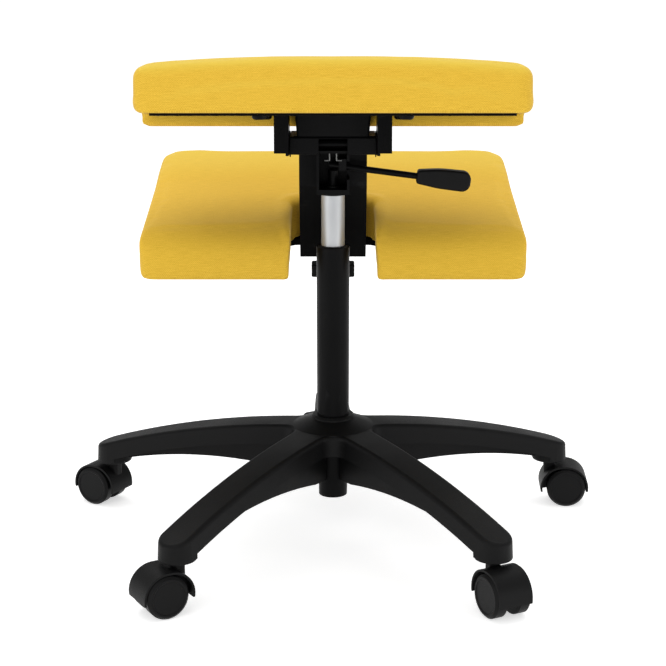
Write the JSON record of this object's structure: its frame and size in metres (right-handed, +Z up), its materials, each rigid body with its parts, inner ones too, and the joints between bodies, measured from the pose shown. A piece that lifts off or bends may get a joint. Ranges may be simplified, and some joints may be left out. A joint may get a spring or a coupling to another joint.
{
  "type": "kneeling chair",
  "caption": "Kneeling chair: a padded seat tilted forward over a slotted padded knee rest, on a gas lift with a side lever and a star base with hooded casters.",
  "frame": {"origin": "on the floor, on the axis of the lift column", "axes": "+Z up along the column, +Y the way the sitter faces, +X to the sitter's right, where the lever is"},
  "size_m": [0.6748, 0.6481, 0.6136],
  "materials": {
    "yellow_fabric": "woven",
    "black_nylon": "fine grain",
    "wheel_nylon": "satin",
    "black_steel": "powder coat",
    "chrome_tube": "bright",
    "bright_steel": "zinc plated",
    "black_board": "black cloth over plywood",
    "black_rubber": "matte"
  },
  "bodies": {
    "base": {"base_star": "black_nylon", "column_tube": "black_steel", "column_bush": "black_nylon"},
    "spindle": {"piston_rod": "bright_steel", "piston_head": "bright_steel", "thrust_bearing": "bright_steel", "column_clip": "bright_steel"},
    "carriage": {"gas_cylinder": "chrome_tube", "lift_housing": "black_steel", "cross_box": "black_steel", "knee_arm": "black_steel", "pivot_pin": "black_steel", "pivot_nut": "black_steel", "pivot_washers": "black_nylon", "fulcrum_bracket": "black_steel", "fulcrum_pin": "black_steel", "lever_spring": "bright_steel"},
    "lever": {"lever_rod": "black_steel", "lever_grip": "black_nylon"},
    "button": {"valve_button": "black_steel"},
    "seat": {"seat_cushion": "yellow_fabric", "seat_board": "black_board", "seat_bracket_left": "black_steel", "seat_bracket_right": "black_steel", "seat_bolts": "black_steel", "seat_buffer": "black_rubber"},
    "knee_rest": {"knee_cushion": "yellow_fabric", "knee_board": "black_board", "knee_plate": "black_steel", "knee_screws": "bright_steel", "clamp_stud": "bright_steel"},
    "clamp": {"clamp_handle": "black_nylon"},
    "caster_1": {"caster_1_hood": "black_nylon", "caster_1_stem": "bright_steel", "caster_1_axle": "bright_steel"},
    "caster_1_left": {"caster_1_wheel_left": "wheel_nylon"},
    "caster_1_right": {"caster_1_wheel_right": "wheel_nylon"},
    "caster_2": {"caster_2_hood": "black_nylon", "caster_2_stem": "bright_steel", "caster_2_axle": "bright_steel"},
    "caster_2_left": {"caster_2_wheel_left": "wheel_nylon"},
    "caster_2_right": {"caster_2_wheel_right": "wheel_nylon"},
    "caster_3": {"caster_3_hood": "black_nylon", "caster_3_stem": "bright_steel", "caster_3_axle": "bright_steel"},
    "caster_3_left": {"caster_3_wheel_left": "wheel_nylon"},
    "caster_3_right": {"caster_3_wheel_right": "wheel_nylon"},
    "caster_4": {"caster_4_hood": "black_nylon", "caster_4_stem": "bright_steel", "caster_4_axle": "bright_steel"},
    "caster_4_left": {"caster_4_wheel_left": "wheel_nylon"},
    "caster_4_right": {"caster_4_wheel_right": "wheel_nylon"},
    "caster_5": {"caster_5_hood": "black_nylon", "caster_5_stem": "bright_steel", "caster_5_axle": "bright_steel"},
    "caster_5_left": {"caster_5_wheel_left": "wheel_nylon"},
    "caster_5_right": {"caster_5_wheel_right": "wheel_nylon"}
  },
  "joints": [
    {"name": "column_swivel", "type": "hinge", "parent": "base", "child": "spindle", "pos_m": [0, 0, 0.05], "axis": [0, 0, 1], "continuous": true},
    {"name": "lift_slide", "type": "slide", "parent": "spindle", "child": "carriage", "axis": [0, 0, 1], "range_m": [-0.055, 0.06]},
    {"name": "lever_lift", "type": "hinge", "parent": "carriage", "child": "lever", "pos_m": [0.0113, 0, 0.46001], "axis": [0, -1, 0], "range_deg": [0, 14], "stiffness_Nm_per_rad": 1.5, "springref_deg": -2.86},
    {"name": "button_press", "type": "slide", "parent": "carriage", "child": "button", "axis": [0, 0, -1], "range_m": [0, 0.003]},
    {"name": "seat_tilt", "type": "hinge", "parent": "carriage", "child": "seat", "pos_m": [0, -0.008, 0.488], "axis": [1, 0, 0], "range_deg": [-3, 3], "stiffness_Nm_per_rad": 600, "springref_deg": -0.34},
    {"name": "knee_slide", "type": "slide", "parent": "carriage", "child": "knee_rest", "axis": [0, 0.9826, 0.1857], "range_m": [0, 0.05]},
    {"name": "clamp_turn", "type": "hinge", "parent": "knee_rest", "child": "clamp", "pos_m": [0, 0.12359, 0.3316], "axis": [0, -0.1857, 0.9826], "range_deg": [0, 180]},
    {"name": "caster_1_swivel", "type": "hinge", "parent": "base", "child": "caster_1", "pos_m": [0.2833, 0.09562, 0.059], "axis": [0, 0, 1], "continuous": true},
    {"name": "caster_1_roll_left", "type": "hinge", "parent": "caster_1", "child": "caster_1_left", "pos_m": [0.30527, 0.09446, 0.025], "axis": [0.0523, 0.9986, 0], "continuous": true},
    {"name": "caster_1_roll_right", "type": "hinge", "parent": "caster_1", "child": "caster_1_right", "pos_m": [0.30527, 0.09446, 0.025], "axis": [0.0523, 0.9986, 0], "continuous": true},
    {"name": "caster_2_swivel", "type": "hinge", "parent": "base", "child": "caster_2", "pos_m": [-0.00339, 0.29898, 0.059], "axis": [0, 0, 1], "continuous": true},
    {"name": "caster_2_roll_left", "type": "hinge", "parent": "caster_2", "child": "caster_2_left", "pos_m": [-0.01439, 0.31803, 0.025], "axis": [-0.866, -0.5, 0], "continuous": true},
    {"name": "caster_2_roll_right", "type": "hinge", "parent": "caster_2", "child": "caster_2_right", "pos_m": [-0.01439, 0.31803, 0.025], "axis": [-0.866, -0.5, 0], "continuous": true},
    {"name": "caster_3_swivel", "type": "hinge", "parent": "base", "child": "caster_3", "pos_m": [-0.2854, 0.08916, 0.059], "axis": [0, 0, 1], "continuous": true},
    {"name": "caster_3_roll_left", "type": "hinge", "parent": "caster_3", "child": "caster_3_left", "pos_m": [-0.30445, 0.10016, 0.025], "axis": [-0.5, -0.866, 0], "continuous": true},
    {"name": "caster_3_roll_right", "type": "hinge", "parent": "caster_3", "child": "caster_3_right", "pos_m": [-0.30445, 0.10016, 0.025], "axis": [-0.5, -0.866, 0], "continuous": true},
    {"name": "caster_4_swivel", "type": "hinge", "parent": "base", "child": "caster_4", "pos_m": [-0.17299, -0.24387, 0.059], "axis": [0, 0, 1], "continuous": true},
    {"name": "caster_4_roll_left", "type": "hinge", "parent": "caster_4", "child": "caster_4_left", "pos_m": [-0.19185, -0.25521, 0.025], "axis": [0.515, -0.8572, 0], "continuous": true},
    {"name": "caster_4_roll_right", "type": "hinge", "parent": "caster_4", "child": "caster_4_right", "pos_m": [-0.19185, -0.25521, 0.025], "axis": [0.515, -0.8572, 0], "continuous": true},
    {"name": "caster_5_swivel", "type": "hinge", "parent": "base", "child": "caster_5", "pos_m": [0.17848, -0.23989, 0.059], "axis": [0, 0, 1], "continuous": true},
    {"name": "caster_5_roll_left", "type": "hinge", "parent": "caster_5", "child": "caster_5_left", "pos_m": [0.18812, -0.25966, 0.025], "axis": [0.8988, 0.4384, 0], "continuous": true},
    {"name": "caster_5_roll_right", "type": "hinge", "parent": "caster_5", "child": "caster_5_right", "pos_m": [0.18812, -0.25966, 0.025], "axis": [0.8988, 0.4384, 0], "continuous": true}
  ],
  "couplings": [
    {"joint": "button_press", "follows": "lever_lift", "m_per_rad": 0.0118}
  ]
}
